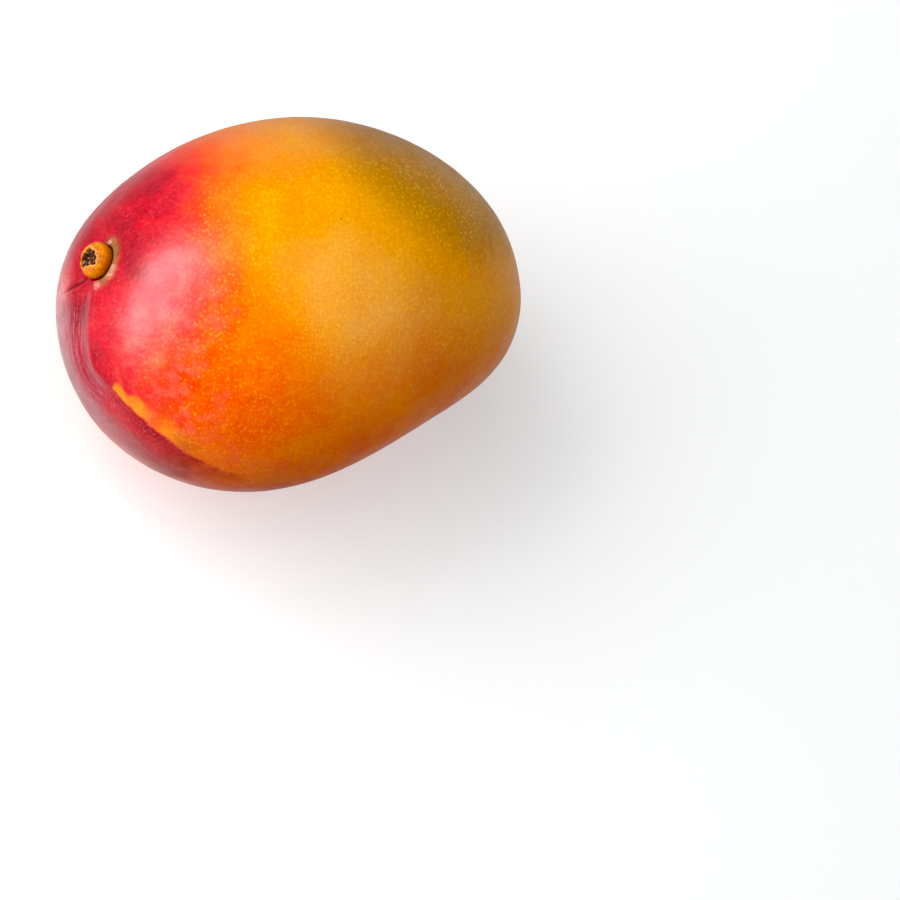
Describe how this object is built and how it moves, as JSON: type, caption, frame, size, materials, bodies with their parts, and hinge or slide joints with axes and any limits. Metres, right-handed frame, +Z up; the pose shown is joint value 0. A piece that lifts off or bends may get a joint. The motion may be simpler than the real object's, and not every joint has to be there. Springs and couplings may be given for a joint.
{
  "type": "whole mango",
  "caption": "Whole ripe mango lying on its cheek, with a blunt stalk stub in its socket, a full belly, a flat sinus and a rounded beak.",
  "frame": {"origin": "on the surface the fruit lies on, under the middle of the object's box", "axes": "+X from the stalk end towards the beak end, along the fruit; +Y towards the back of the fruit, away from its belly; +Z up, through the cheek it lies on"},
  "size_m": [0.1314, 0.0936, 0.0826],
  "materials": {
    "skin": "waxy fruit skin with a soft sheen, crimson round the stalk, golden yellow on the cheek and olive at the far end, with fine pale dots",
    "stalk": "dry ochre stalk, matt, with a dark broken end"
  },
  "bodies": {
    "root": {"mango_fruit": "skin", "stalk_stub": "stalk"}
  },
  "joints": []
}
